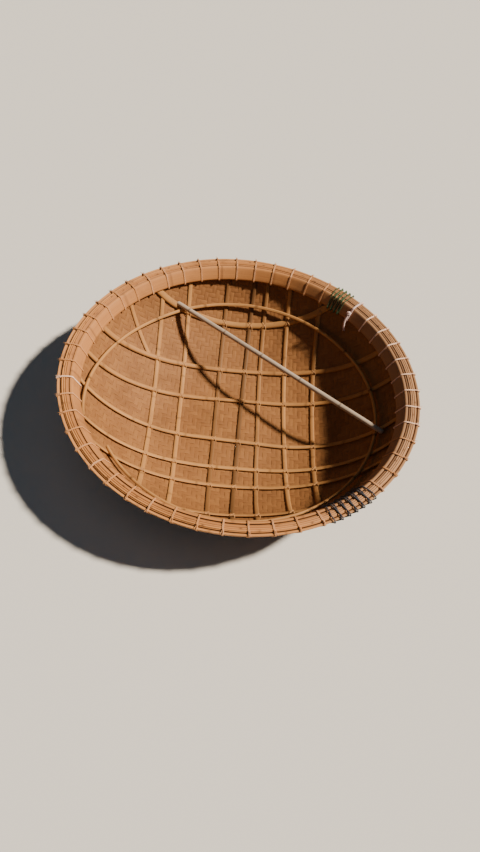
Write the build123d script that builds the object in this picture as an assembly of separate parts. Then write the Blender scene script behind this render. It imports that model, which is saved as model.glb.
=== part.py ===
from build123d import *
import math
import os

# Round basket boat of woven split bamboo.
# Millimetres, +Z up. The origin is the middle of the flat foot, on the ground.
# X and Y lie along the two families of floor laths.

# Hull, measured on its outer skin
boat_height = 510.0        # ground to the level top of the rim hoops
skin_diameter = 1926.0     # across the woven skin at the top of the rim hoops
foot_radius = 250.0        # flat middle of the bottom, which the boat stands on
wall_run = 135.0           # straight part of the wall, below the top, measured up the slope
weave_thickness = 9.0      # tarred bamboo weave

# Rim: split bamboo hoops inside and outside the weave, and a cap over its raw edge
hoop_thickness = 16.0
hoop_depth = 74.0          # top to bottom, upright
hoop_bevel = 3.5           # eased edges of the split bamboo
cap_cane_width = 9.6       # the cap is canes laid side by side
cap_cane_count = 3
cap_thickness = 5.0
cap_bevel = 2.0

# Cane ties round the whole rim
tie_count = 50
tie_width = 9.0
tie_thickness = 3.5

# Cord bindings over the joints of the outer hoops: cord width and thickness
binding_cord = 9.0
binding_thickness = 5.0

# Floor laths: the lower family runs along Y, the upper family along X
lath_width = 24.0
lower_lath = 8.0
upper_lath = 9.0

# Stringer hoop that lies on the laths, and the pole that rests on it
stringer_drop = 215.0      # middle of the stringer's level run below the rim's top
stringer_width = 20.0
stringer_thickness = 15.0
stringer_first = -150.0    # bearing where its level run begins
stringer_climb = 122.0     # bearing where it leaves the level run and climbs to the rim hoops
stringer_tip = 200.0       # bearing of the tip under the rim hoops
climb_width = 18.0         # the climbing end is split a little narrower
pole_diameter = 30.0
pole_offset = 349.0        # boat axis to pole axis
pole_bearing = 53.8        # direction from the boat axis to the pole, from +X
pole_joint_count = 5
pole_joint_spacing = 285.0
pole_joint_shift = 95.0    # middle joint from the pole's middle
pole_joint_width = 9.0
pole_joint_rise = 1.6

# Rope made fast to the rim
rope_diameter = 14.0
hitch_thickness = 7.2      # the rope is pulled flat where it goes round the rim
rope_bearing = 43.2        # the place of the tie that the rope's hitch replaces
knot_size = 32.0
knot_bevel = 6.0
knot_drop = 18.0           # middle of the knot below the rim's top
knot_cut = 12.0            # middle of the knot down to the flat that the tail leaves
tail_first_run = 17.0      # straight out of the knot, down the wall

clearance = 0.3            # between pieces that seat on each other

# Floor laths: name, distance from the axis at the middle of the boat, lean in degrees
# (anticlockwise seen from above), and how far the ends bow in towards the axis at the rim
LATHS_ALONG_X = [
    ("lath_x_1", -690.0, 4.0, 0.0),
    ("lath_x_2", -427.0, 0.5, 0.0),
    ("lath_x_3", -287.0, -0.6, 0.0),
    ("lath_x_4", -88.0, -3.0, 0.0),
    ("lath_x_5", 228.0, 0.0, 80.0),
    ("lath_x_6", 450.0, 0.0, 125.0),
    ("lath_x_7", 720.0, 0.0, 0.0),
]
LATHS_ALONG_Y = [
    ("lath_y_1", -505.0, 0.0, 0.0),
    ("lath_y_2", -340.0, 0.0, 0.0),
    ("lath_y_3", -120.0, -1.2, 0.0),
    ("lath_y_4", 30.0, -2.5, 0.0),
    ("lath_y_5", 142.0, -0.6, 0.0),
    ("lath_y_6", 305.0, 0.6, 0.0),
    ("lath_y_7", 472.0, -1.0, 0.0),
]

# Short lath of the lower layer, from under one of the upper laths straight up to the rim
corner_lath_under = "lath_x_6"
corner_lath_along = -553.0     # place of its foot along that lath
corner_lath_bearing = 127.4    # direction it runs in, from +X

# Bindings: name, first bearing in degrees, last bearing, turns
BINDINGS = [
    ("rim_binding_dark", -62.0, -46.5, 6),
    ("rim_binding_green", 47.5, 54.0, 4),
]

# Rope tail below its first run, from the middle of the knot: inwards, sideways, down
TAIL_ROUTE = [
    (20.7, -0.6, 42.0), (25.7, -2.6, 60.0), (28.1, -6.0, 79.0), (28.5, -10.6, 98.0), (27.2, -16.0, 116.0)]

# The bilge is one arc, tangent to the foot and to the straight wall
top_radius = skin_diameter / 2
run_out = top_radius - foot_radius
bilge_radius = (run_out ** 2 + boat_height ** 2 - wall_run ** 2) / (2 * boat_height)
chord_rise = math.atan2(boat_height - bilge_radius, run_out)
wall_slope = chord_rise + math.atan2(bilge_radius, wall_run)
slope_sin = math.sin(wall_slope)
slope_tan = math.tan(wall_slope)

# Depths of the surfaces inside the outer skin
weave_face = weave_thickness
lower_face = weave_face + clearance + lower_lath
upper_face = lower_face + clearance + upper_lath
stringer_back = upper_face + clearance
stringer_face = stringer_back + stringer_thickness
inner_hoops_face = weave_face + 2 * (clearance + hoop_thickness)
outer_hoops_face = -2 * (clearance + hoop_thickness)

hoop_bottom = boat_height - hoop_depth
cap_top = boat_height + clearance + cap_thickness
deepest_cord = max(tie_thickness, binding_thickness, hitch_thickness)
lath_top = hoop_bottom - deepest_cord - 2 * clearance
tie_pitch = 360 / tie_count
stringer_height = boat_height - stringer_drop
knot_height = boat_height - knot_drop
cap_width = cap_cane_count * cap_cane_width + (cap_cane_count - 1) * clearance


def wall_radius(depth, height):
    """Radius of the straight wall, a given depth inside the skin, at a given height."""
    return top_radius - (boat_height - height) / slope_tan - depth / slope_sin


def bilge_point(depth, bearing):
    """Point of the bilge arc, a given depth inside the skin; bearing is from straight down."""
    radius = bilge_radius - depth
    return (foot_radius + radius * math.sin(bearing), bilge_radius - radius * math.cos(bearing))


def bilge_bearing(depth, height):
    """Bearing of the bilge arc's point at a given height."""
    return math.acos((bilge_radius - height) / (bilge_radius - depth))


def in_section(points):
    """Points of the section (radius, height) in the XZ plane."""
    return [Vector(r, 0, z) for r, z in points]


def bowl_points(depth, top):
    """Ends and middle of the bowl's line, foot, bilge and wall, a given depth inside the skin."""
    return in_section([
        (0, depth), (foot_radius, depth),
        bilge_point(depth, wall_slope / 2), bilge_point(depth, wall_slope),
        (wall_radius(depth, top), top)])


def shell(outer_depth, inner_depth, top):
    """Shell of revolution between two depths inside the skin, cut level at its top."""
    outer = bowl_points(outer_depth, top)
    inner = bowl_points(inner_depth, top)
    edges = [
        Line(outer[0], outer[1]), ThreePointArc(outer[1], outer[2], outer[3]), Line(outer[3], outer[4]),
        Line(outer[4], inner[4]),
        Line(inner[4], inner[3]), ThreePointArc(inner[3], inner[2], inner[1]), Line(inner[1], inner[0]),
        Line(inner[0], outer[0])]
    return revolve(make_face(edges), Axis.Z, 360)


def well(depth):
    """All the room inside the bowl, from a given depth inside the skin up to the rim."""
    line = bowl_points(depth, boat_height)
    rim_middle = Vector(0, 0, boat_height)
    edges = [
        Line(line[0], line[1]), ThreePointArc(line[1], line[2], line[3]), Line(line[3], line[4]),
        Line(line[4], rim_middle), Line(rim_middle, line[0])]
    return revolve(make_face(edges), Axis.Z, 360)


def ring(points):
    """Ring with a straight-sided section."""
    return revolve(make_face(Polyline(*in_section(points), close=True)), Axis.Z, 360)


def eased(corners, bevel):
    """The corners of a section, each cut back by a bevel along both of its sides."""
    cut = []
    for before, corner, after in zip(corners[-1:] + corners[:-1], corners, corners[1:] + corners[:1]):
        for neighbour in (before, after):
            share = bevel / math.dist(corner, neighbour)
            cut.append(tuple(c + share * (n - c) for c, n in zip(corner, neighbour)))
    return cut


def hoop(outer_depth, inner_depth):
    """Rim hoop that leans with the wall, level at its top and bottom, with eased edges."""
    return ring(eased([
        (wall_radius(outer_depth, hoop_bottom), hoop_bottom),
        (wall_radius(outer_depth, boat_height), boat_height),
        (wall_radius(inner_depth, boat_height), boat_height),
        (wall_radius(inner_depth, hoop_bottom), hoop_bottom)], hoop_bevel))


def hull_weave():
    return shell(0, weave_face, boat_height)


def rim_hoops():
    step = clearance + hoop_thickness
    return {
        "rim_inner_hoop_1": hoop(weave_face + clearance, weave_face + step),
        "rim_inner_hoop_2": hoop(weave_face + step + clearance, inner_hoops_face),
        "rim_outer_hoop_1": hoop(-step, -clearance),
        "rim_outer_hoop_2": hoop(outer_hoops_face, -step - clearance)}


def cap_middle():
    return wall_radius(weave_face / 2, boat_height)


def rim_cap_strip():
    """Split canes side by side over the weave's raw edge, round on top."""
    low = boat_height + clearance
    canes = []
    for number in range(cap_cane_count):
        inside = cap_middle() - cap_width / 2 + number * (cap_cane_width + clearance)
        outside = inside + cap_cane_width
        canes.append(ring([
            (inside, low), (outside, low), (outside, cap_top - cap_bevel), (outside - cap_bevel, cap_top),
            (inside + cap_bevel, cap_top), (inside, cap_top - cap_bevel)]))
    return Compound(canes)


def rim_outline():
    """Outline of the whole rim's section, which the cords are drawn tight round."""
    half_cap = cap_width / 2
    return make_face(Polyline(*in_section([
        (wall_radius(outer_hoops_face, hoop_bottom), hoop_bottom),
        (wall_radius(outer_hoops_face, boat_height), boat_height),
        (cap_middle() + half_cap, cap_top),
        (cap_middle() - half_cap, cap_top),
        (wall_radius(inner_hoops_face, boat_height), boat_height),
        (wall_radius(inner_hoops_face, hoop_bottom), hoop_bottom)]), close=True))


def rim_band(width, thickness):
    """One turn of cord round the rim at bearing 0, open where it goes through the weave."""
    outline = rim_outline()
    outer = offset(outline, amount=clearance + thickness, kind=Kind.INTERSECTION)
    inner = offset(outline, amount=clearance, kind=Kind.INTERSECTION)
    below = hoop_bottom - 3 * thickness
    weave = make_face(Polyline(*in_section([
        (wall_radius(-clearance, below), below),
        (wall_radius(-clearance, hoop_bottom), hoop_bottom),
        (wall_radius(weave_face + clearance, hoop_bottom), hoop_bottom),
        (wall_radius(weave_face + clearance, below), below)]), close=True))
    return extrude(outer - inner - weave, amount=width / 2, both=True, dir=(0, 1, 0))


def taken_by_other_cords(bearing):
    """Whether a binding or the rope's hitch lies at a bearing between -180 and 180 degrees."""
    margin = math.degrees((binding_cord + tie_width) / top_radius)
    spans = [(first, last) for name, first, last, turns in BINDINGS]
    spans.append((rope_bearing, rope_bearing))
    return any(first - margin < bearing < last + margin for first, last in spans)


def rim_ties():
    band = rim_band(tie_width, tie_thickness)
    bearings = [(number - tie_count // 2) * tie_pitch for number in range(tie_count)]
    return Compound([Rot(0, 0, bearing) * band for bearing in bearings if not taken_by_other_cords(bearing)])


def rim_binding(first, last, turns):
    """Turns of cord side by side round the rim, from one bearing to another."""
    band = rim_band(binding_cord, binding_thickness)
    step = (last - first) / (turns - 1)
    return Compound([Rot(0, 0, first + turn * step) * band for turn in range(turns)])


def rope_hitch():
    return Rot(0, 0, rope_bearing) * rim_band(rope_diameter, hitch_thickness)


def down_from_knot(distance):
    """Point down the wall's slope from the knot's middle: radius, sideways, height."""
    depth = inner_hoops_face + 2 * clearance + hitch_thickness + knot_size / 2
    radius = wall_radius(depth, knot_height)
    return (radius - distance * math.cos(wall_slope), 0.0, knot_height - distance * slope_sin)


def rope_knot():
    """Drum-shaped knot on the inner face of the hitch, with a flat that the tail leaves."""
    drum = Cylinder(knot_size / 2, 2 * knot_cut)
    drum = chamfer(drum.edges().filter_by(GeomType.CIRCLE), knot_bevel)
    along_wall = Rot(0, 90 - math.degrees(wall_slope), 0)
    return Rot(0, 0, rope_bearing) * Pos(*down_from_knot(0)) * along_wall * drum


def rope_tail():
    """Tube along the tail's route: straight runs joined by arcs as large as the runs allow."""
    first_run = [down_from_knot(knot_cut), down_from_knot(knot_cut + tail_first_run)]
    middle = down_from_knot(0)
    hanging = [(middle[0] - inward, sideways, middle[2] - down) for inward, sideways, down in TAIL_ROUTE]
    points = [Vector(*point) for point in first_run + hanging]
    radii = []
    for before, corner, after in zip(points, points[1:], points[2:]):
        arriving = corner - before
        leaving = after - corner
        half_turn = math.radians(arriving.get_angle(leaving)) / 2
        radii.append(0.45 * min(arriving.length, leaving.length) / math.tan(half_turn))
    route = FilletPolyline(*points, radius=radii)
    start = Plane(origin=points[0], z_dir=points[1] - points[0])
    return Rot(0, 0, rope_bearing) * sweep(start * Circle(rope_diameter / 2), path=route)


def lath_cutter(distance, lean, bow):
    """Upright slab that cuts one floor lath out of its layer, laid along X.

    A bowed lath is a band between two circles whose middles lie beyond the boat's axis."""
    height = 2 * boat_height
    if bow == 0:
        slab = Box(skin_diameter, lath_width, 2 * height)
    else:
        bend = (top_radius ** 2 + bow ** 2) / (2 * bow)
        band = Cylinder(bend + lath_width / 2, 2 * height) - Cylinder(bend - lath_width / 2, 3 * height)
        slab = Pos(0, -math.copysign(bend, distance), 0) * band
    return Pos(0, distance, 0) * Rot(0, 0, lean) * slab


def corner_lath_cutter():
    """Upright slab from the middle of the lath it starts under, out past the rim."""
    distance, bow = [row[1:4:2] for row in LATHS_ALONG_X if row[0] == corner_lath_under][0]
    foot = distance - math.copysign(bow, distance) * (corner_lath_along / top_radius) ** 2
    slab = Pos(top_radius / 2, 0, 0) * Box(top_radius, lath_width, 4 * boat_height)
    return Pos(corner_lath_along, foot, 0) * Rot(0, 0, corner_lath_bearing) * slab


def floor_laths():
    lower_layer = shell(weave_face + clearance, lower_face, lath_top)
    upper_layer = shell(lower_face + clearance, upper_face, lath_top)
    laths = {}
    for name, distance, lean, bow in LATHS_ALONG_Y:
        along_y = Rot(0, 0, -90) * lath_cutter(distance, lean, bow)
        laths[name] = lower_layer & along_y
    for name, distance, lean, bow in LATHS_ALONG_X:
        laths[name] = upper_layer & lath_cutter(distance, lean, bow)
    laths["lath_corner"] = lower_layer & corner_lath_cutter()
    return laths


def stringer_corner(depth, side):
    """Corner of the stringer's section; side is -1 for its lower edge, 1 for its upper."""
    half_width = stringer_width / 2 / (bilge_radius - stringer_back)
    return bilge_point(depth, bilge_bearing(stringer_back, stringer_height) + side * half_width)


def sector(points, first, last):
    """Section turned round the axis from one bearing to another."""
    return Rot(0, 0, first) * revolve(make_face(Polyline(*in_section(points), close=True)), Axis.Z, last - first)


def climbing_end():
    """Slab of a flat curve, level where it leaves the stringer's run, up to the laths' top at its tip."""
    middle = (stringer_back + stringer_face) / 2
    radius, height = bilge_point(middle, bilge_bearing(stringer_back, stringer_height))
    start = (Rot(0, 0, stringer_climb) * Pos(radius, 0, height)).position
    tip = (Rot(0, 0, stringer_tip) * Pos(wall_radius(middle, lath_top), 0, lath_top)).position
    level = Vector(0, 1, 0).rotate(Axis.Z, stringer_climb)
    flat = Plane(origin=start, x_dir=level, z_dir=level.cross(tip - start))
    slab = flat * Box(2 * skin_diameter, 2 * skin_diameter, climb_width)
    room = [(0, 0), (skin_diameter, 0), (skin_diameter, boat_height), (0, boat_height)]
    return slab & sector(room, stringer_climb, stringer_tip + 10)


def stringer_hoop():
    """Cane bent round on the laths: a level run, and an end that climbs to the rim hoops."""
    near, far = stringer_back - stringer_thickness, stringer_face + stringer_thickness
    run = [stringer_corner(near, -1), stringer_corner(near, 1), stringer_corner(far, 1), stringer_corner(far, -1)]
    cutter = sector(run, stringer_first, stringer_climb) + climbing_end()
    return shell(stringer_back, stringer_face, lath_top) & cutter


def thwart_pole():
    """Round pole across the boat, its ends shaped to the wall above the laths."""
    seat = stringer_corner(stringer_face, 1)[1]
    height = seat + clearance + pole_diameter / 2
    radius = pole_diameter / 2
    joint = Cone(radius, radius + pole_joint_rise, pole_joint_width / 2)
    joint = Pos(0, 0, -pole_joint_width / 4) * joint + Pos(0, 0, pole_joint_width / 4) * Rot(180, 0, 0) * joint
    pole = Cylinder(radius, skin_diameter)
    for number in range(pole_joint_count):
        place = pole_joint_shift + (number - (pole_joint_count - 1) / 2) * pole_joint_spacing
        pole += Pos(0, 0, place) * joint
    pole = Rot(0, 0, pole_bearing) * Pos(pole_offset, 0, height) * Rot(-90, 0, 0) * pole
    return pole & well(upper_face + clearance)


def write_parts():
    parts = {"hull_weave": hull_weave(), "rim_cap_strip": rim_cap_strip(), "rim_ties": rim_ties()}
    parts.update(rim_hoops())
    for name, first, last, turns in BINDINGS:
        parts[name] = rim_binding(first, last, turns)
    parts["rope_hitch"] = rope_hitch()
    parts["rope_knot"] = rope_knot()
    parts["rope_tail"] = rope_tail()
    parts.update(floor_laths())
    parts["stringer_hoop"] = stringer_hoop()
    parts["thwart_pole"] = thwart_pole()
    os.makedirs("parts", exist_ok=True)
    for name, part in parts.items():
        export_step(part, f"parts/{name}.step")


write_parts()
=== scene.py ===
import math
import bpy
import numpy as np
from mathutils import Matrix, Vector


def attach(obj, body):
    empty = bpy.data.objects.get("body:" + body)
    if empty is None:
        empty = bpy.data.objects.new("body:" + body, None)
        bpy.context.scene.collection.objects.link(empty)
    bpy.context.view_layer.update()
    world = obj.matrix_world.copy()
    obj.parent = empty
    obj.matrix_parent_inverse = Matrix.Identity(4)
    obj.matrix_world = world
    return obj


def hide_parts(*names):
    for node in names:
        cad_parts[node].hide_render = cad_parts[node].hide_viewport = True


# Round basket boat of woven split bamboo, dressed from its strips, laths, hoops and cords.
# Metres, +Z up. The origin is the middle of the flat foot, on the ground. Bearings run from +X
# towards +Y, in degrees in the values below and in radians in the functions.

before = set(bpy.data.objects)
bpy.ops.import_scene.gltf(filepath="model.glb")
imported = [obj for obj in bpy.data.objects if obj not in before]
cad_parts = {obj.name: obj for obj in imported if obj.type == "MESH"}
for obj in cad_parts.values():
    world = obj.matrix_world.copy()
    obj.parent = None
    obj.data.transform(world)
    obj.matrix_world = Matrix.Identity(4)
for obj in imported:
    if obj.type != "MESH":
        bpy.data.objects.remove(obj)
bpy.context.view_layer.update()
chance = np.random.default_rng(7)
BODY = "root"

# Hull
RIM_HEIGHT = 0.510
SKIN_RADIUS = 0.963
FOOT_RADIUS = 0.250
WALL_RUN = 0.135
WATERLINE = 0.074
CLEARANCE = 0.0003

# Rim hoops, and the canes of the cap over the weave's edge
HOOP_THICKNESS = 0.016
HOOP_DEPTH = 0.074
HOOP_EASE = 0.0008          # left out of a hoop's depth above and below
HOOP_JOINTS = 17
HOOP_JOINT_SHIFT = 0.13     # from one hoop to the next, in radians
HOOP_JOINT_SWELL = 0.05     # share by which a joint is thicker
CREVICE_SHADE_SPAN = (0.56, 0.80)      # shares of the way to a hidden face where the painted shade begins and is full
CAP_CANE_WIDTH = 0.0096
CAP_CANE_COUNT = 3
CAP_THICKNESS = 0.005
CAP_EASE = 0.0006           # left out of a cane's thickness
CAP_JOINTS = 23
CAP_JOINT_SHIFT = 0.09
CAP_JOINT_RISE = 0.0005

# Cane ties round the rim
TIE_COUNT = 50
TIE_WRAPS = 3
TIE_PITCH = 0.0031          # from one wrap to the next
TIE_RADIUS = 0.0016
TIE_LIFT = 0.0019           # of the cane's middle off the rim's outline
TIE_END_PLACE = 0.985       # turn round the rim at which the ends are twisted off
TIE_ENDS = ((-1, 0.024), (1, 0.032))            # side and reach of the two ends
TIE_END_SPREAD = 0.003      # from the twist to each end's root, in radians
TIE_END_LIFT = 0.0030
TIE_END_RISE = (0.35, 0.4)  # slope of an upright end, and what its lean adds
TIE_END_DROOP = 0.35
TIE_END_RADIUS = 0.0013
TIE_END_TAPER = 0.0003
TIE_TWIST_TURNS = 2.2
TIE_TWIST_LIFT = 0.0042
TIE_TWIST_SPREAD = 0.0026
TIE_TWIST_RADIUS = 0.0015
TIE_MARGIN = 1.07           # degrees without a tie beside a binding and at the rope
NEW_TIES = ((-16.0, 44.0), (-175.0, -170.0))    # bearings of the pale, newer ties

# Cord bindings: bearings of both ends, turns each way, radius of the cord
DARK_BINDING = (-62.0, -46.5, 6, 0.0034)
GREEN_BINDING = (47.5, 54.0, 4, 0.0032)

# Rope: its hitch, knot and tail
ROPE_BEARING = 43.2
ROPE_RADIUS = 0.007
ROPE_LAY = 0.034            # length of one turn of the strands
ROPE_FRAY = 0.014           # over which the strands part at the free end
STRAND_SHARE = 0.464        # radius of three equal circles that fill a circle of radius 1
HITCH_THICKNESS = 0.0072
HITCH_LAYS = 10
KNOT_DROP = 0.018
KNOT_SIZE = 0.032
KNOT_ROPE_RADIUS = 0.0055
KNOT_SPREAD = 0.0036
KNOT_RISE = 0.0068
KNOT_LAYS = 8

# Weave: strips over two and under two, and the resin skin outside
STRIP_PITCH = 0.027
STRIP_WIDTH = 0.0258
STRIP_THICKNESS = 0.0022
STRIP_CROWN = 0.0004
STRIP_STRAY = 0.0006        # of a strip from its line
WEAVE_MIDDLE = 0.0056       # depth inside the skin
WEAVE_SWING = 0.0014        # of a strip to either side of the middle
COAT_RELIEF = 0.0012
COAT_THICKNESS = 0.0009

# Laths and stringer: the layers are depths inside the skin
LATH_WIDTH = 0.024
LATH_TOP = 0.4282
LATH_JOINT_SPACING = 0.31
LATH_JOINT_SHIFT = 0.11     # from one lath to the next
LATH_JOINT_WIDTH = 0.0075
LATH_JOINT_RISE = 0.0007
LOWER_LAYER = (0.0093, 0.0173)
UPPER_LAYER = (0.0176, 0.0266)
STRINGER_LAYER = (0.0269, 0.0419)
STRINGER_HEIGHT = 0.295
STRINGER_WIDTH = 0.020
STRINGER_JOINTS = 15
STRINGER_JOINT_SWELL = 0.06
STRINGER_BEARINGS = (-150.0, 122.0, 200.0)      # start of the level run, start of the climb, tip

# Pole
POLE_RADIUS = 0.015
POLE_OFFSET = 0.349
POLE_BEARING = 53.8
POLE_EASE = 0.0003          # by which the pole is thinner between its joints
POLE_JOINT_SPACING = 0.285
POLE_JOINT_SHIFT = 0.095
POLE_JOINT_RISE = 0.0016
POLE_GROOVE_SHIFT = 0.009   # from a joint's ridge to the groove beside it
POLE_GROOVE_DEPTH = 0.0004

# Cane straps over the laths' crossings
CROSS_TIE_REACH = 0.0165
CROSS_TIE_RADIUS = 0.0022
CROSS_TIE_LEVEL = 0.66      # share of its reach over which a strap lies level
CROSS_TIE_LIFT = 0.0006     # of the strap that lies over the other one
CROSS_TIE_OVER = 0.0008     # of the straps' middle over the upper laths
CROSS_TIE_STOP = 0.09       # height below the laths' top above which no crossing is tied

# Laths: name, distance from the axis, lean in degrees, bow towards the axis at the rim
LATHS_ALONG_X = [
    ("lath_x_1", -0.690, 4.0, 0.0),
    ("lath_x_2", -0.427, 0.5, 0.0),
    ("lath_x_3", -0.287, -0.6, 0.0),
    ("lath_x_4", -0.088, -3.0, 0.0),
    ("lath_x_5", 0.228, 0.0, 0.080),
    ("lath_x_6", 0.450, 0.0, 0.125),
    ("lath_x_7", 0.720, 0.0, 0.0),
]
LATHS_ALONG_Y = [
    ("lath_y_1", -0.505, 0.0, 0.0),
    ("lath_y_2", -0.340, 0.0, 0.0),
    ("lath_y_3", -0.120, -1.2, 0.0),
    ("lath_y_4", 0.030, -2.5, 0.0),
    ("lath_y_5", 0.142, -0.6, 0.0),
    ("lath_y_6", 0.305, 0.6, 0.0),
    ("lath_y_7", 0.472, -1.0, 0.0),
]
OLD_LATHS = {"lath_y_3": 0.7, "lath_y_4": 1.0, "lath_y_5": 0.4}     # share darkened by water
CORNER_LATH_FOOT = (-0.553, 0.409)
CORNER_LATH_BEARING = 127.4

# Rope tail from the knot: radius, sideways, height, at the rope's bearing
TAIL_ROUTE = [
    (0.8738, 0.0, 0.4814), (0.8658, 0.0, 0.4664), (0.8587, -0.0006, 0.4500), (0.8537, -0.0026, 0.4320),
    (0.8513, -0.0060, 0.4130), (0.8509, -0.0106, 0.3940), (0.8522, -0.0160, 0.3760)]

# Steps of the meshes, along each piece or once round it
HOOP_STEPS = 600
CAP_STEPS = 540
TIE_STEPS = 40              # to a wrap
BINDING_STEPS = 44          # to a turn
HITCH_STEPS = 96
KNOT_STEPS = 160
LATH_STEPS = 300
CORNER_LATH_STEPS = 60
STRINGER_STEPS = 480
POLE_STEPS = 360
FLOOR_STEPS = 192

# The photograph's camera
PHOTO_HEIGHT = 852
FOCAL_PIXELS = 700
SENSOR_HEIGHT = 36.0
VIEW_BEARING = -5.23        # of the picture's right before its roll
VIEW_ELEVATION = 52.03
VIEW_ROLL = 8.89
VIEW_DISTANCE = 3.866
VIEW_RIGHT = 0.011
VIEW_UP = 0.277

# Lamps: name, kind, power, colour, bearing, elevation, distance, angle or width
LAMPS = [
    ("warm_key", "SUN", 9.4, (1.0, 0.86, 0.69), 0.0, 49.0, 6.0, 0.07),
    ("soft_top", "AREA", 6.0, (0.92, 0.95, 1.0), -120.0, 60.0, 4.0, 3.0),
]
FILL_COLOUR = (0.50, 0.74, 1.0)
FILL_STRENGTH = 0.058
BACKDROP_COLOUR = (0.62, 0.62, 0.60)
FLOOR_COLOUR = (0.58, 0.58, 0.565)
FLOOR_RADII = (1.0, 2.0, 5.0, 14.0)
FLOOR_INSET = 0.001         # of the floor's inner edge, inside the hull's skin

# Grain of the finishes: features to the metre along and across a piece
BAMBOO_FIBRES = (7, 950, 1)
BAMBOO_STREAKS = (2.2, 130, 1)
CORD_FIBRES = (600, 900, 1)
RESIN_STROKES = (40, 40, 9)
GRAIN_SHIFT = (3.7, 0.37)   # of the grain from one run of a piece to the next
GRIME = 0.35
GREY_BAMBOO = (0.27, 0.185, 0.125)

BILGE = ((SKIN_RADIUS - FOOT_RADIUS) ** 2 + RIM_HEIGHT ** 2 - WALL_RUN ** 2) / (2 * RIM_HEIGHT)
SLOPE = math.atan2(RIM_HEIGHT - BILGE, SKIN_RADIUS - FOOT_RADIUS) + math.atan2(BILGE, WALL_RUN)
FULL_RUN = FOOT_RADIUS + BILGE * SLOPE + WALL_RUN
HOOP_BOTTOM = RIM_HEIGHT - HOOP_DEPTH
HOOP_STEP = HOOP_THICKNESS + CLEARANCE
WEAVE_FACE = LOWER_LAYER[0] - CLEARANCE
INNER_FACE = WEAVE_FACE + 2 * HOOP_STEP
OUTER_FACE = -2 * HOOP_STEP
STRINGER_BEND = BILGE - STRINGER_LAYER[0]
STRINGER_TURN = math.acos((BILGE - STRINGER_HEIGHT) / STRINGER_BEND)
UP = np.array([0.0, 0.0, 1.0])


# Geometry of the bowl

def bowl(run, depth):
    """(radius, height) of a point: run is measured along the skin from the axis, over the flat
    foot, the bilge's arc and the straight wall; depth is measured inwards, square to the skin."""
    turn = np.clip((run - FOOT_RADIUS) / BILGE, 0, SLOPE)
    wall = np.maximum(run - FOOT_RADIUS - BILGE * SLOPE, 0)
    radius = np.minimum(run, FOOT_RADIUS) + (BILGE - depth) * np.sin(turn) + wall * math.cos(SLOPE)
    return radius, BILGE - (BILGE - depth) * np.cos(turn) + wall * math.sin(SLOPE)


def bowl_height(radius, depth):
    """Height over a radius of the surface a given depth inside the skin: the foot is level, the
    bilge is its arc's height, and past the arc's end the wall climbs at its slope."""
    bend = BILGE - depth
    out = radius - FOOT_RADIUS
    edge = bend * math.sin(SLOPE)
    arc = BILGE - np.sqrt(bend ** 2 - np.clip(out, 0, edge) ** 2)
    return arc + np.maximum(out - edge, 0) * math.tan(SLOPE)


def wall_radius(depth, height):
    """Radius of the straight wall at a depth and a height."""
    return SKIN_RADIUS - (RIM_HEIGHT - height) / math.tan(SLOPE) - depth / math.sin(SLOPE)


def on_bowl(across, up, depth):
    """Points of the bowl from a flat pattern whose distance from its middle is kept along the
    skin, and whose bearing is kept round the axis."""
    run = np.minimum(np.hypot(across, up), FULL_RUN)
    radius, height = bowl(run, depth)
    return at_bearing(radius, height, np.arctan2(up, across))


def in_plan(x, y, depth):
    """Points over plan positions x and y, on the surface a given depth inside the skin."""
    return np.stack([x, y, bowl_height(np.hypot(x, y), depth)], axis=-1)


def at_bearing(radius, height, bearing):
    """Points at radii, heights and bearings round the axis."""
    x, y = radius * np.cos(bearing), radius * np.sin(bearing)
    return np.stack(np.broadcast_arrays(x, y, height), axis=-1)


def sideways(bearing):
    """Unit vector round the rim at a bearing."""
    return at_bearing(1.0, 0.0, bearing + math.pi / 2)


def unit(vectors):
    """Vectors over their lengths."""
    return vectors / np.linalg.norm(vectors, axis=-1, keepdims=True)


def closed(points):
    """Points with the first one once more at the end."""
    return np.concatenate([points, points[:1]])


def travelled(path):
    """Distance along a path at each of its points."""
    return np.concatenate([[0], np.cumsum(np.linalg.norm(np.diff(path, axis=0), axis=1))])


def full_turn(count):
    """Even angles of one whole turn."""
    return np.linspace(0, math.tau, count, endpoint=False)


def squared(wave, power):
    """A sine or cosine to a power below 1 with its sign kept: a circle becomes a rounded square."""
    return np.sign(wave) * np.abs(wave) ** power


def waver(distance, size, length, phase):
    """Slow unevenness of hand-split bamboo: three sines of unlike lengths."""
    turn = distance * math.tau / length
    slow, middling = np.sin(turn + phase), np.sin(2.3 * turn + 2.1 * phase)
    return size * (slow + 0.6 * middling + 0.35 * np.sin(5.1 * turn + phase)) / 2


def humps(distance, spacing, shift, width):
    """1 at each of a row of even places, such as bamboo joints, with a bell curve to either side."""
    off = (distance - shift + spacing / 2) % spacing - spacing / 2
    return np.exp(-(off / width) ** 2)


# Meshes from sections

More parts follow.
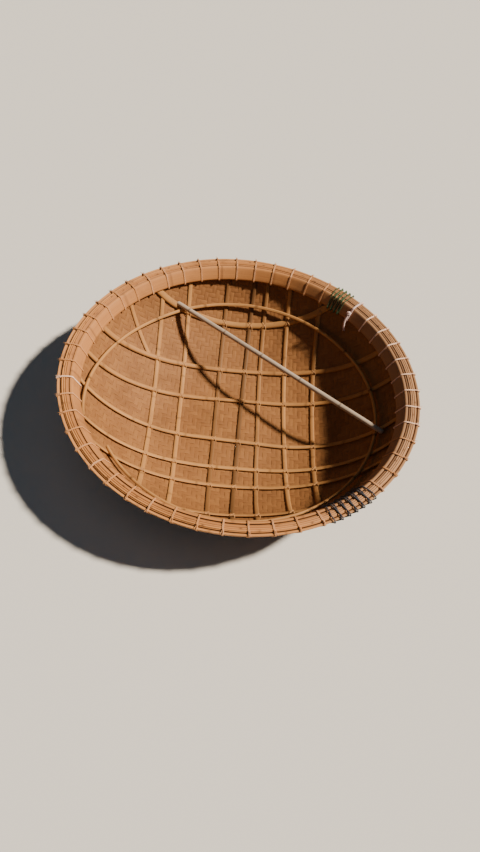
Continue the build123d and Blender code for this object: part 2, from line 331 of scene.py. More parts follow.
def solid(name, nodes, finish, runs, ring=False, tones=None, joints=None, sharp=50):
    """Closed sections carried along paths: quads join each section to the next, and strips of
    quads close the ends. The UV map holds metres along and round each run, shifted from run to
    run, and two attributes hold the tone and the share of the dark colour for bamboo joints,
    stains and painted shade."""
    points, quads, maps, tone, joint = [], [], [], [], []
    start = 0
    for number, sections in enumerate(runs):
        count, sides = sections.shape[:2]
        index = start + np.arange(count * sides).reshape(count, sides)
        start += index.size
        here = index if ring else index[:-1]
        there = np.roll(index, -1, axis=0) if ring else index[1:]
        side = np.stack([here, there, np.roll(there, -1, axis=1), np.roll(here, -1, axis=1)], axis=-1)
        middle = sections.mean(axis=1)
        along = travelled(closed(middle) if ring else middle) + GRAIN_SHIFT[0] * number
        around = travelled(closed(sections[count // 2])) + GRAIN_SHIFT[1] * number
        u = np.stack([along[:-1], along[1:], along[1:], along[:-1]], axis=-1)[:, None]
        v = np.stack([around[:-1], around[:-1], around[1:], around[1:]], axis=-1)[None]
        quads.append(side.reshape(-1, 4))
        maps.append(np.stack(np.broadcast_arrays(u, v), axis=-1).reshape(-1, 4, 2))
        if not ring:
            step = np.arange(sides // 2 - 1)
            cap = np.stack([step, step + 1, sides - 2 - step, sides - 1 - step], axis=-1)
            for end, order in ((0, cap), (-1, cap[:, ::-1])):
                quads.append(index[end][order])
                maps.append(np.stack([np.full(order.shape, along[end]), around[order]], axis=-1))
        points.append(sections.reshape(-1, 3))
        for values, given, usual in ((tone, tones, 0.5), (joint, joints, 0.0)):
            value = usual if given is None else given[number]
            values.append(np.broadcast_to(value, index.shape).ravel())
    return mesh_piece(name, nodes, finish, np.vstack(points), np.vstack(quads), np.vstack(maps),
                      {"tone": np.concatenate(tone), "joint": np.concatenate(joint)}, sharp)


def mesh_piece(name, nodes, finish, points, quads, maps, values, sharp):
    """Object of quads whose faces point outwards: where the volume that they enclose comes out
    negative, every quad is turned over."""
    first, second, third, fourth = (points[quads[:, corner]] for corner in range(4))
    volume = np.einsum("ij,ij->", first, np.cross(second, third) + np.cross(third, fourth))
    if volume < 0:
        quads = quads[:, ::-1]
        maps = maps[:, ::-1]
    mesh = bpy.data.meshes.new(name)
    mesh.vertices.add(len(points))
    mesh.vertices.foreach_set("co", points.astype(np.float32).ravel())
    mesh.loops.add(quads.size)
    mesh.polygons.add(len(quads))
    mesh.polygons.foreach_set("loop_start", np.arange(0, quads.size, 4, dtype=np.int32))
    mesh.loops.foreach_set("vertex_index", quads.astype(np.int32).ravel())
    mesh.uv_layers.new(name="metres").data.foreach_set("uv", maps.astype(np.float32).ravel())
    for label, value in values.items():
        mesh.attributes.new(label, "FLOAT", "POINT").data.foreach_set("value", value.astype(np.float32))
    mesh.update(calc_edges=True)
    mesh.shade_smooth()
    mesh.set_sharp_from_angle(angle=math.radians(sharp))
    mesh.materials.append(finish)
    piece = placed(name, mesh)
    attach(piece, BODY)
    if nodes:
        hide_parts(*nodes)
    return piece


def placed(name, data):
    """Object of a mesh, lamp or camera in the scene."""
    made = bpy.data.objects.new(name, data)
    bpy.context.scene.collection.objects.link(made)
    return made


def directions(path, reference, ring=False):
    """Two unit vectors square to a path: across it and the reference, and square to both."""
    step = np.roll(path, -1, axis=0) - np.roll(path, 1, axis=0) if ring else np.gradient(path, axis=0)
    tangent = unit(step)
    first = unit(np.cross(tangent, reference))
    return first, np.cross(tangent, first)


def tube(path, reference, radius, sides=8, flat=1.0, ring=False):
    """Round or flattened tube: circle of the radius, its first direction scaled by flat."""
    first, second = directions(path, reference, ring)
    turn = full_turn(sides)[:, None]
    radius = np.broadcast_to(radius, len(path))[:, None, None]
    return path[:, None] + radius * (flat * np.cos(turn) * first[:, None] + np.sin(turn) * second[:, None])


def laid_rope(path, reference, radius, lay, flat=1.0, fray=0.0, ring=False):
    """Three strands laid round a path, one turn to each lay: each strand's middle circles the path
    at the radius less the strand's own. Over the fray before the end they thin and part."""
    first, second = directions(path, reference, ring)
    distance = travelled(path)
    loose = np.clip((distance - distance[-1] + fray) / fray, 0, 1) if fray else 0 * distance
    strand_radius = radius * STRAND_SHARE * (1 - 0.45 * loose)
    swing = radius * (1 - STRAND_SHARE) * (1 + 0.9 * loose)
    runs = []
    for strand in range(3):
        angle = math.tau * (distance / lay + strand / 3)
        offset = flat * np.cos(angle)[:, None] * first + np.sin(angle)[:, None] * second
        runs.append(tube(path + swing[:, None] * offset, reference, strand_radius, ring=ring))
    return runs


# Finishes

class Field:
    """One output of a finish's nodes, used in Python expressions on numbers."""

    def __init__(self, finish, socket):
        self.finish = finish
        self.socket = socket

    def maths(self, operation, *values):
        return self.finish.node("ShaderNodeMath", {"operation": operation}, values)

    def __add__(self, other):
        return self.maths("ADD", self, other)

    def __sub__(self, other):
        return self.maths("SUBTRACT", self, other)

    def __rsub__(self, other):
        return self.maths("SUBTRACT", other, self)

    def __mul__(self, other):
        return self.maths("MULTIPLY", self, other)

    __radd__ = __add__
    __rmul__ = __mul__

    def sine(self):
        return self.maths("SINE", self)

    def between(self, low, high):
        """0 below low, 1 above high, and a smooth step from one to the other."""
        return self.finish.node("ShaderNodeMapRange", {"interpolation_type": "SMOOTHSTEP"},
                                {"Value": self, "From Min": low, "From Max": high})


class Finish:
    """A material's nodes."""

    def __init__(self, name):
        self.material = bpy.data.materials.new(name)
        self.material.use_nodes = True
        self.tree = self.material.node_tree
        self.shader = self.tree.nodes["Principled BSDF"]

    def node(self, kind, settings, inputs, output=0):
        """One node: its settings first, then numbers and links into its sockets."""
        made = self.tree.nodes.new(kind)
        for setting, value in settings.items():
            setattr(made, setting, value)
        pairs = inputs.items() if isinstance(inputs, dict) else enumerate(inputs)
        for place, value in pairs:
            self.feed(made.inputs[place], value)
        return Field(self, made.outputs[output])

    def feed(self, socket, value):
        if isinstance(value, Field):
            self.tree.links.new(value.socket, socket)
        else:
            socket.default_value = value

    def position(self):
        return self.node("ShaderNodeTexCoord", {}, {}, "Object")

    def metres(self):
        return self.node("ShaderNodeUVMap", {"uv_map": "metres"}, {})

    def value(self, label):
        return self.node("ShaderNodeAttribute", {"attribute_name": label}, {}, "Fac")

    def part(self, place, axis):
        return self.node("ShaderNodeSeparateXYZ", {}, [place], axis)

    def noise(self, place, scale, detail=2.0, roughness=0.5):
        return self.node("ShaderNodeTexNoise", {}, {
            "Vector": place, "Scale": scale, "Detail": detail, "Roughness": roughness})

    def grain(self, place, stretch, detail=2.0, roughness=0.5):
        """Noise drawn out along a piece: its features to the metre differ from axis to axis."""
        drawn = self.node("ShaderNodeMapping", {}, {"Vector": place, "Scale": stretch})
        return self.noise(drawn, 1.0, detail, roughness)

    def mix(self, share, first, second):
        colours = [colour if isinstance(colour, Field) else (*colour, 1.0) for colour in (first, second)]
        return self.node("ShaderNodeMix", {"data_type": "RGBA"}, {
            0: share, 6: colours[0], 7: colours[1]}, 2)

    def done(self, colour, roughness, height=None, relief=0.0, **constants):
        """Feeds the shader; relief is the height in metres of the finest surface detail."""
        self.feed(self.shader.inputs["Base Color"], colour)
        self.feed(self.shader.inputs["Roughness"], roughness)
        if height:
            bump = self.node("ShaderNodeBump", {}, {"Strength": 1.0, "Distance": relief, "Height": height})
            self.feed(self.shader.inputs["Normal"], bump)
        for label, value in constants.items():
            self.shader.inputs[label.replace("_", " ")].default_value = value
        return self.material


def bamboo(name, pale, dark, joint_stain_shade_colour, gloss, relief, greyed=0.0):
    """Split bamboo: fibres and streaks run along it, each piece has its own tone, its joints, what
    is stained and the painted shade in its crevices take the dark colour, and weather has dulled it
    in patches. The side towards +X may have gone grey. Gloss is its lowest roughness."""
    finish = Finish(name)
    metres, place = finish.metres(), finish.position()
    fibre = finish.grain(metres, BAMBOO_FIBRES, 3.0, 0.6)
    streak = finish.grain(metres, BAMBOO_STREAKS, 3.0, 0.55)
    patch = finish.noise(place, 5.5, 4.0, 0.6)
    speck = finish.noise(place, 60.0, 3.0, 0.65)
    share = 0.50 * finish.value("tone") + 0.42 * streak + 0.22 * fibre - 0.08
    colour = finish.mix(share.between(0.12, 0.92), dark, pale)
    colour = finish.mix(patch.between(0.46, 0.74) * GRIME, colour, tuple(0.5 * c for c in dark))
    colour = finish.mix(speck.between(0.60, 0.78) * GRIME, colour, tuple(0.35 * c for c in dark))
    if greyed:
        sunny = finish.part(place, "X").between(0.15, 0.85) * greyed
        colour = finish.mix(sunny * (0.55 + 0.9 * streak), colour, GREY_BAMBOO)
    # Dark colour for joints, water stains and, on the rim hoops, painted shade in the crevices.
    colour = finish.mix(finish.value("joint") * 0.8, colour, joint_stain_shade_colour)
    roughness = gloss + 0.22 * patch + 0.12 * fibre
    return finish.done(colour, roughness, fibre * 0.5 + streak * 0.5, relief, Specular_IOR_Level=0.3)


def cord_finish(name, pale, dark, twist, fuzz=0.0003, ageing=0.2):
    """Twisted cord: ridges wind round it, one to each twist in metres, with painted shade in the
    grooves between them; its fibres take up dirt unevenly, and a low tone is an old cord, darker
    by the share that ageing gives."""
    finish = Finish(name)
    metres = finish.metres()
    winding = math.tau / twist
    wind = finish.part(metres, "X") * winding + finish.part(metres, "Y") * winding
    ridge = wind.sine() * 0.5 + 0.5
    fibre = finish.grain(metres, CORD_FIBRES)
    dirt = finish.noise(finish.position(), 26.0, 3.0, 0.6)
    # Painted shade and dirt: the twist's grooves are painted darker than its ridges, and dirt noise
    # darkens it further.
    clean_and_lit = 0.45 * ridge + 0.55 * dirt + ageing * (finish.value("tone") - 0.5)
    colour = finish.mix(clean_and_lit.between(0.15, 0.85), dark, pale)
    return finish.done(colour, 0.72 + 0.18 * fibre, ridge * 0.6 + fibre * 0.4, fuzz)


def resin_finish(name, thick, thin, worn, salted):
    """Brown resin brushed over the weave: it pools in the grooves and dries in streaks, is worn
    on the strips' high middles, and salt has dried on it low down."""
    finish = Finish(name)
    place = finish.position()
    pool = finish.noise(place, 9.0, 5.0, 0.62)
    brush = finish.grain(place, RESIN_STROKES, 4.0, 0.6)
    pitting = finish.noise(place, 240.0, 2.0, 0.5)
    salt = finish.noise(place, 16.0, 6.0, 0.7)
    colour = finish.mix((0.6 * pool + 0.4 * brush).between(0.34, 0.66), thick, thin)
    colour = finish.mix(finish.value("tone") * 0.35, colour, worn)
    low = 1 - finish.part(place, "Z").between(0.05, 0.16)
    colour = finish.mix(salt.between(0.5, 0.72) * low * 0.6, colour, salted)
    return finish.done(colour, 0.34 + 0.3 * brush + 0.15 * salt, brush * 0.5 + pitting * 0.5, 0.0006)


WEAVE_BAMBOO = bamboo(
    "woven_strip_bamboo", pale=(0.295, 0.134, 0.041), dark=(0.168, 0.066, 0.020),
    joint_stain_shade_colour=(0.12, 0.05, 0.02), gloss=0.56, relief=0.0003)
LATH_BAMBOO = bamboo(
    "lath_split_bamboo", pale=(0.47, 0.245, 0.080), dark=(0.27, 0.115, 0.033),
    joint_stain_shade_colour=(0.060, 0.022, 0.005), gloss=0.48, relief=0.0004)
HOOP_BAMBOO = bamboo(
    "hoop_split_bamboo", pale=(0.51, 0.232, 0.074), dark=(0.26, 0.098, 0.029),
    joint_stain_shade_colour=(0.10, 0.040, 0.018), gloss=0.54, relief=0.0005, greyed=0.5)
POLE_BAMBOO = bamboo(
    "pole_weathered_bamboo", pale=(0.47, 0.39, 0.31), dark=(0.26, 0.19, 0.135),
    joint_stain_shade_colour=(0.15, 0.10, 0.065), gloss=0.40, relief=0.0003)
TIE_CANE = cord_finish(
    "tie_pale_cane", pale=(0.78, 0.53, 0.39), dark=(0.47, 0.215, 0.075),
    twist=0.004, ageing=1.0)
CROSS_CANE = cord_finish(
    "crossing_tan_cane", pale=(0.48, 0.26, 0.10), dark=(0.24, 0.10, 0.036), twist=0.004)
DARK_CORD = cord_finish(
    "binding_blue_grey_cord", pale=(0.060, 0.066, 0.085), dark=(0.014, 0.015, 0.022),
    twist=0.006, fuzz=0.0004)
GREEN_CORD = cord_finish(
    "binding_green_cord", pale=(0.05, 0.10, 0.035), dark=(0.016, 0.036, 0.014), twist=0.006, fuzz=0.0004)
PALE_ROPE = cord_finish(
    "rope_pale_pink", pale=(0.74, 0.58, 0.55), dark=(0.50, 0.34, 0.31), twist=0.0025)
RESIN = resin_finish(
    "sealing_resin", thick=(0.035, 0.017, 0.009), thin=(0.125, 0.062, 0.028),
    worn=(0.21, 0.115, 0.052), salted=(0.22, 0.20, 0.16))


# Camera at the photograph's place

def line_of_sight(bearing, elevation):
    """Unit vector towards a bearing and an elevation, both in degrees."""
    bearing, elevation = math.radians(bearing), math.radians(elevation)
    return Vector((math.cos(bearing) * math.cos(elevation), math.sin(bearing) * math.cos(elevation),
                   math.sin(elevation)))


def photo_camera():
    """Camera that looks at the middle of the rim from the near side, rolled as the photograph's
    is, then moved level and upright in its own picture."""
    back = line_of_sight(VIEW_BEARING - 90, VIEW_ELEVATION)
    level = line_of_sight(VIEW_BEARING, 0)
    upright = back.cross(level)
    roll = math.radians(VIEW_ROLL)
    right = math.cos(roll) * level + math.sin(roll) * upright
    up = math.cos(roll) * upright - math.sin(roll) * level
    place = Vector((0, 0, RIM_HEIGHT)) + back * VIEW_DISTANCE - right * VIEW_RIGHT - up * VIEW_UP
    data = bpy.data.cameras.new("photo_camera")
    data.sensor_fit = "VERTICAL"
    data.sensor_height = SENSOR_HEIGHT
    data.lens = FOCAL_PIXELS * SENSOR_HEIGHT / PHOTO_HEIGHT
    camera = placed("photo_camera", data)
    camera.matrix_world = Matrix.Translation(place) @ Matrix((right, up, back)).transposed().to_4x4()
    bpy.context.scene.camera = camera


# Rope

ROPE_ANGLE = math.radians(ROPE_BEARING)
ROPE_OUT = at_bearing(1.0, 0.0, ROPE_ANGLE)
ROPE_SIDE = sideways(ROPE_ANGLE)


def tail_line():
    """Points along the smooth curve that the tail's route steers, in order."""
    curve = bpy.data.curves.new("rope_tail_line", "CURVE")
    curve.dimensions = "3D"
    curve.resolution_u = 12
    spline = curve.splines.new("NURBS")
    spline.points.add(len(TAIL_ROUTE) - 1)
    route = np.array([radius * ROPE_OUT + across * ROPE_SIDE + height * UP
                      for radius, across, height in TAIL_ROUTE])
    spline.points.foreach_set("co", np.hstack([route, np.ones((len(route), 1))]).ravel())
    spline.order_u = 3
    spline.use_endpoint_u = True
    holder = bpy.data.objects.new("rope_tail_line", curve)
    line = bpy.data.meshes.new_from_object(holder)
    path = np.empty(3 * len(line.vertices))
    line.vertices.foreach_get("co", path)
    bpy.data.objects.remove(holder)
    return path.reshape(-1, 3)


def rope_tail():
    """Rope that hangs from the knot to its open end."""
    path = tail_line()
    tail = solid("rope_tail_laid", ["rope_tail"], PALE_ROPE,
                 laid_rope(path, ROPE_SIDE, ROPE_RADIUS, ROPE_LAY, fray=ROPE_FRAY))


def rope_hitch():
    """Rope drawn tight round the rim and flattened there."""
    turn = np.linspace(0, 1, HITCH_STEPS, endpoint=False)
    loop = rim_cord(ROPE_ANGLE, turn, CLEARANCE + HITCH_THICKNESS / 2)
    runs = laid_rope(loop, ROPE_SIDE, ROPE_RADIUS, travelled(closed(loop))[-1] / HITCH_LAYS,
                     flat=HITCH_THICKNESS / (2 * ROPE_RADIUS), ring=True)
    solid("rope_hitch_laid", ["rope_hitch"], PALE_ROPE, runs, ring=True)


def rope_knot():
    """Knot on the rim's inner face, a trefoil: a circle, with another of twice the size that is
    run twice the other way, and three rises and falls along the face."""
    height = RIM_HEIGHT - KNOT_DROP
    depth = INNER_FACE + 2 * CLEARANCE + HITCH_THICKNESS + KNOT_SIZE / 2
    centre = wall_radius(depth, height) * ROPE_OUT + height * UP
    down = -math.cos(SLOPE) * ROPE_OUT - math.sin(SLOPE) * UP
    outwards = np.cross(ROPE_SIDE, down)
    angle = full_turn(KNOT_STEPS)[:, None]
    coil = ((np.sin(angle) + 2 * np.sin(2 * angle)) * ROPE_SIDE
            + (np.cos(angle) - 2 * np.cos(2 * angle)) * outwards)
    loop = centre + KNOT_SPREAD * coil + KNOT_RISE * np.sin(3 * angle) * down
    runs = laid_rope(loop, down, KNOT_ROPE_RADIUS, travelled(closed(loop))[-1] / KNOT_LAYS, ring=True)
    solid("rope_knot_laid", ["rope_knot"], PALE_ROPE, runs, ring=True)


# Rim

def rim_outline(grow):
    """Outline of the rim's section as (radius, height), grown by a distance, back to its start:
    each corner becomes three points, out along the sides' normals and between them."""
    cap_middle = wall_radius(WEAVE_FACE / 2, RIM_HEIGHT)
    half_cap = (CAP_CANE_COUNT * (CAP_CANE_WIDTH + CLEARANCE) - CLEARANCE) / 2
    cap_top = RIM_HEIGHT + CLEARANCE + CAP_THICKNESS
    corners = np.array([
        (cap_middle + half_cap, cap_top), (cap_middle - half_cap, cap_top),
        (wall_radius(INNER_FACE, RIM_HEIGHT), RIM_HEIGHT),
        (wall_radius(INNER_FACE, HOOP_BOTTOM), HOOP_BOTTOM),
        (wall_radius(OUTER_FACE, HOOP_BOTTOM), HOOP_BOTTOM),
        (wall_radius(OUTER_FACE, RIM_HEIGHT), RIM_HEIGHT)])
    sides = np.roll(corners, -1, axis=0) - corners
    leaving = unit(np.stack([sides[:, 1], -sides[:, 0]], axis=-1))
    arriving = np.roll(leaving, 1, axis=0)
    normals = np.stack([arriving, unit(arriving + leaving), leaving], axis=1)
    return closed((corners[:, None] + grow * normals).reshape(-1, 2))


def rim_cord(bearing, turns, grow):
    """Path drawn tight round the rim: turns counts from the cap's outer edge, over the cap, down
    inside, out under the hoops and up outside. Grow may vary along the path."""
    base = rim_outline(0.0)
    normal = rim_outline(1.0) - base
    distance = travelled(rim_outline(0.004))
    where = (turns % 1.0) * distance[-1]
    radius, height = (np.interp(where, distance, base[:, column])
                      + grow * np.interp(where, distance, normal[:, column]) for column in (0, 1))
    return at_bearing(radius, height, bearing)


def hoop(face, number):
    """Sections of a rim hoop and the share of the dark colour that its joints and painted shade take:
    |x|^4 + |y|^4 = 1, leaning with the wall, with bamboo joints and the slow waver of a hand-split
    cane. Painted shade darkens the hoop where it lies against the next hoop or the weave beside it."""
    bearing = full_turn(HOOP_STEPS)[:, None]
    angle = full_turn(16) + math.pi / 16
    wide, tall = squared(np.cos(angle), 0.5), squared(np.sin(angle), 0.5)
    ridge = humps(bearing, math.tau / HOOP_JOINTS, HOOP_JOINT_SHIFT * number, width=0.007)
    # Painted shade: each face darkens towards the crease where it lies against the next hoop or the weave.
    hidden = np.abs(wide) if number in (1, 3) else np.maximum((3 - number) * -wide, 0)
    crevice_shade = np.clip((hidden - CREVICE_SHADE_SPAN[0]) / (CREVICE_SHADE_SPAN[1] - CREVICE_SHADE_SPAN[0]), 0, 1)
    depth = face + HOOP_THICKNESS / 2 + waver(bearing, size=0.0003, length=math.tau / 5, phase=number)
    depth = depth + (1 + HOOP_JOINT_SWELL * ridge) * wide * HOOP_THICKNESS / 2
    stray = waver(bearing, size=0.0011, length=math.tau / 4, phase=2 * number)
    height = (RIM_HEIGHT + HOOP_BOTTOM) / 2 + stray + tall * (HOOP_DEPTH / 2 - HOOP_EASE)
    return at_bearing(wall_radius(depth, height), height, bearing), np.maximum(0.7 * ridge, crevice_shade)


def rim_hoops():
    """Two hoops inside the weave's edge and two outside, at the depths of their outer faces."""
    faces = {
        "rim_inner_hoop_1": WEAVE_FACE + CLEARANCE, "rim_inner_hoop_2": WEAVE_FACE + HOOP_STEP + CLEARANCE,
        "rim_outer_hoop_1": -HOOP_STEP, "rim_outer_hoop_2": OUTER_FACE}
    for number, (name, face) in enumerate(faces.items(), 1):
        # Its second value is the share of dark colour: bamboo joints and painted shade in the crevices.
        sections, joint = hoop(face, number)
        solid(name + "_split", [name], HOOP_BAMBOO, [sections], ring=True,
              tones=[0.3 + 0.16 * number], joints=[joint])


def rim_cap():
    """Canes side by side on the weave's edge: half-round on top, flat below."""
    middle = wall_radius(WEAVE_FACE / 2, RIM_HEIGHT)
    bearing = full_turn(CAP_STEPS)[:, None]
    angle = np.linspace(0, math.pi, 7)
    wide = np.concatenate([np.cos(angle), [-0.5]])
    tall = np.concatenate([np.sin(angle) ** 0.8, [0.0]])
    runs, tones, joints = [], [], []
    for number in range(CAP_CANE_COUNT):
        place = middle + (number - (CAP_CANE_COUNT - 1) / 2) * (CAP_CANE_WIDTH + CLEARANCE)
        ridge = humps(bearing, math.tau / CAP_JOINTS, CAP_JOINT_SHIFT * number, width=0.006)
        radius = place + wide * CAP_CANE_WIDTH / 2 + waver(bearing, size=0.0002, length=1.1, phase=number)
        height = RIM_HEIGHT + CLEARANCE + tall * (CAP_THICKNESS - CAP_EASE + CAP_JOINT_RISE * ridge)
        runs.append(at_bearing(radius, height, bearing))
        tones.append(0.45 + 0.2 * number)
        joints.append(ridge)
    solid("rim_cap_canes", ["rim_cap_strip"], HOOP_BAMBOO, runs, ring=True,
          tones=tones, joints=joints)


def rim_tie(bearing, leans):
    """Wraps of cane side by side round the rim; two ends that reach out past its outer edge, droop
    by the square of their reach and taper; and the twist between them, a helix that runs out."""
    out, side = at_bearing(1.0, 0.0, bearing), sideways(bearing)
    turns = np.linspace(0, TIE_WRAPS, TIE_STEPS * TIE_WRAPS + 1)
    sweep = bearing + (turns - TIE_WRAPS / 2) * TIE_PITCH / SKIN_RADIUS
    runs = [tube(rim_cord(sweep, turns, TIE_LIFT), sideways(sweep), TIE_RADIUS, 6)]
    share = np.linspace(0, 1, 6)
    for (end, reach), lean in zip(TIE_ENDS, leans):
        root = rim_cord(bearing + TIE_END_SPREAD * end, TIE_END_PLACE, TIE_END_LIFT)
        away = unit(out + (TIE_END_RISE[0] + TIE_END_RISE[1] * lean) * UP + lean * side)
        path = root + reach * (share[:, None] * away - TIE_END_DROOP * share[:, None] ** 2 * UP)
        runs.append(tube(path, side, TIE_END_RADIUS - TIE_END_TAPER * share, 6))
    twist = np.linspace(0, TIE_TWIST_TURNS * math.tau, 30)[:, None]
    root = rim_cord(bearing, TIE_END_PLACE, TIE_TWIST_LIFT)
    coil = TIE_TWIST_SPREAD * (np.cos(twist) * side + np.sin(twist) * UP)
    runs.append(tube(root + coil + 0.0007 * twist / 6 * out, out, TIE_TWIST_RADIUS, 6))
    return runs


def rim_ties():
    """Ties at even bearings round the rim, but for those that a binding or the rope takes."""
    taken = (DARK_BINDING[:2], GREEN_BINDING[:2], (ROPE_BEARING, ROPE_BEARING))
    runs, tones = [], []
    for number in range(TIE_COUNT):
        bearing = (number - TIE_COUNT // 2) * 360 / TIE_COUNT
        if any(low - TIE_MARGIN < bearing < high + TIE_MARGIN for low, high in taken):
            continue
        made = rim_tie(math.radians(bearing), chance.uniform(-0.5, 0.5, 2))
        new = any(low < bearing < high for low, high in NEW_TIES)
        tone = chance.uniform(0.75, 1.0) if new else chance.uniform(0, 0.3)
        runs += made
        tones += [tone] * len(made)
    solid("rim_ties_cane", ["rim_ties"], TIE_CANE, runs, tones=tones)


def rim_binding(name, node, slot, finish, first, last, turns, radius):
    """Cord wound round the rim from one bearing to another and back, so that it crosses itself
    on top and below; there, once each half turn, the second pass rides over the first."""
    position = np.linspace(0, turns, BINDING_STEPS * turns)
    start, end = math.radians(first), math.radians(last)
    there = start + (end - start) * position / turns
    back = start + end - there
    rise = 1.5 * radius * humps(position, spacing=0.5, shift=-0.07, width=0.08)
    runs = [
        tube(rim_cord(there, position, CLEARANCE + radius), sideways(there), radius),
        tube(rim_cord(back, position, CLEARANCE + radius + rise), sideways(back), radius)]
    solid(name, [node], finish, runs, tones=[0.4, 0.6])


# Weave

def swing_of(cell):
    """Height of a strip that goes over two and under two: a flattened sine, four cells long."""
    return np.clip(1.5 * np.sin(math.pi * (cell + 0.5) / 2), -1, 1)


def strip_family(name, along_y):
    """Strips of one direction, each a crowned section carried along its line of the pattern."""
    wide = np.array([-0.5, 0.5, 0.5, 0.22, -0.22, -0.5]) * STRIP_WIDTH
    thick = np.array([-0.5, -0.5, 0.32, 0.5, 0.5, 0.32]) * STRIP_THICKNESS
    thick = thick + np.array([0, 0, 0, 1, 1, 0]) * STRIP_CROWN
    half_cell = STRIP_PITCH / 2
    reach = int(FULL_RUN / STRIP_PITCH)
    runs, tones = [], []
    for number in range(-reach, reach + 1):
        place = number * STRIP_PITCH
        half = math.sqrt(FULL_RUN ** 2 - place ** 2)
        steps = int(half / half_cell)
        line = np.concatenate([[-half], np.arange(-steps, steps + 1) * half_cell, [half]])[:, None]
        swing = swing_of(line / STRIP_PITCH + number) * (1 if along_y else -1)
        depth = WEAVE_MIDDLE + WEAVE_SWING * swing + thick
        across = place + wide + waver(line, STRIP_STRAY, length=0.9, phase=number)
        across = across + chance.uniform(-STRIP_STRAY, STRIP_STRAY)
        runs.append(on_bowl(across, line, depth) if along_y else on_bowl(line, across, depth))
        tones.append(chance.uniform(0.3, 0.7))
    solid(name, ["hull_weave"], WEAVE_BAMBOO, runs, tones=tones, sharp=60)


def sealing_coat():
    """Resin skin over the weave's outside, which follows the strips: high along the middle of the
    strip that lies outermost in each cell, low in the grooves between cells."""
    half_cell = STRIP_PITCH / 2
    reach = int(FULL_RUN / half_cell) + 1
    line = np.arange(-reach, reach + 1)
    u, v = np.meshgrid(line, line, indexing="ij")
    cell_u, cell_v = u / 2, v / 2
    warp_out = np.clip(-swing_of(cell_v + np.round(cell_u)), 0, 1) * np.abs(np.cos(math.pi * cell_u))
    weft_out = np.clip(swing_of(cell_u + np.round(cell_v)), 0, 1) * np.abs(np.cos(math.pi * cell_v))
    high = np.maximum(warp_out, weft_out)
    points = on_bowl(u * half_cell, v * half_cell, COAT_RELIEF * (1 - high))
    inside = np.hypot(u, v) * half_cell < FULL_RUN
    index = np.arange(u.size).reshape(u.shape)
    corners = [index[:-1, 1:], index[1:, 1:], index[1:, :-1], index[:-1, :-1]]
    quads = np.stack(corners, axis=-1).reshape(-1, 4)
    quads = quads[inside.ravel()[quads].any(axis=1)]
    used, quads = np.unique(quads, return_inverse=True)
    quads = quads.reshape(-1, 4)
    flat = np.stack([u.ravel()[used], v.ravel()[used]], axis=-1) * half_cell
    piece = mesh_piece("hull_sealing_coat", ["hull_weave"], RESIN,
                       points.reshape(-1, 3)[used], quads, flat[quads], {"tone": high.ravel()[used]}, 180)
    wall = piece.modifiers.new("wall", "SOLIDIFY")
    wall.thickness = COAT_THICKNESS
    wall.offset = -1.0


# Laths, stringer and pole

# Lath's crowned section: side as a share of the width, height as a share of the layer
LATH_SECTION = np.array([
    (-0.5, 0.12), (-0.5, 0.60), (-0.38, 0.90), (-0.14, 1.0), (0.14, 1.0), (0.38, 0.90), (0.5, 0.60),
    (0.5, 0.12), (0.42, 0.0), (-0.42, 0.0)])


def lath_line(distance, lean, bow):
    """Plan of a lath along X as a function of the distance along it and an offset to its side:
    a straight line, or an arc whose middle lies beyond the boat's axis, turned by the lean."""
    lean = math.radians(lean)

    def place(along, side):
        if bow:
            bend = (SKIN_RADIUS ** 2 + bow ** 2) / (2 * bow)
            away = math.copysign(1, distance)
            x = (bend + away * side) * np.sin(along / bend)
            y = away * ((bend + away * side) * np.cos(along / bend) - bend)
        else:
            x, y = along, side + 0 * along
        return x * math.cos(lean) - y * math.sin(lean), distance + x * math.sin(lean) + y * math.cos(lean)
    return place


def quarter_turned(line):
    """The same plan for a lath along Y."""
    def place(along, side):
        x, y = line(along, side)
        return y, -x
    return place


def corner_line(along, side):
    """Plan of the slanting lath, from its foot on a crossing towards the rim."""
    bearing = math.radians(CORNER_LATH_BEARING)
    return (CORNER_LATH_FOOT[0] + along * math.cos(bearing) - side * math.sin(bearing),
            CORNER_LATH_FOOT[1] + along * math.sin(bearing) + side * math.cos(bearing))


def lath_sections(place, layer, number, start=None, count=LATH_STEPS):
    """Crowned section carried along a lath's plan, each line of it up to the laths' level top,
    from one side of the rim to the other or from a start."""
    side = LATH_SECTION[:, 0] * LATH_WIDTH
    depth = layer[0] + LATH_SECTION[:, 1] * (layer[1] - layer[0])
    probe = np.linspace(-1.05, 1.05, 801)[:, None]
    x, y = place(probe, side)
    low = bowl_height(np.minimum(np.hypot(x, y), SKIN_RADIUS), depth) < LATH_TOP
    first = probe[low.argmax(axis=0), 0] if start is None else np.full(len(side), start)
    last = probe[-1 - low[::-1].argmax(axis=0), 0]
    along = first + (last - first) * np.linspace(0, 1, count)[:, None]
    ridge = humps(along, LATH_JOINT_SPACING, LATH_JOINT_SHIFT * number, LATH_JOINT_WIDTH)
    side = side * (1 + waver(along, size=0.02, length=0.5, phase=number))
    side = side + waver(along, size=0.0010, length=0.8, phase=3 * number)
    x, y = place(along, side)
    uneven = LATH_JOINT_RISE * ridge + waver(along, size=0.0003, length=0.35, phase=number)
    return in_plan(x, y, depth + uneven * LATH_SECTION[:, 1]), ridge


def floor_laths():
    """The upper laths along X, the lower ones along Y, and the slanting one in the corner."""
    rows = [(name, lath_line(*shape), UPPER_LAYER) for name, *shape in LATHS_ALONG_X]
    rows += [(name, quarter_turned(lath_line(*shape)), LOWER_LAYER) for name, *shape in LATHS_ALONG_Y]
    rows.append(("lath_corner", corner_line, LOWER_LAYER, 0.0, CORNER_LATH_STEPS))
    for number, (name, place, layer, *ends) in enumerate(rows):
        sections, ridge = lath_sections(place, layer, number, *ends)
        joint = np.maximum(0.5 * ridge, OLD_LATHS.get(name, 0.0))
        solid(name + "_split", [name], LATH_BAMBOO, [sections],
              tones=[chance.uniform(0.3, 0.75)], joints=[joint])


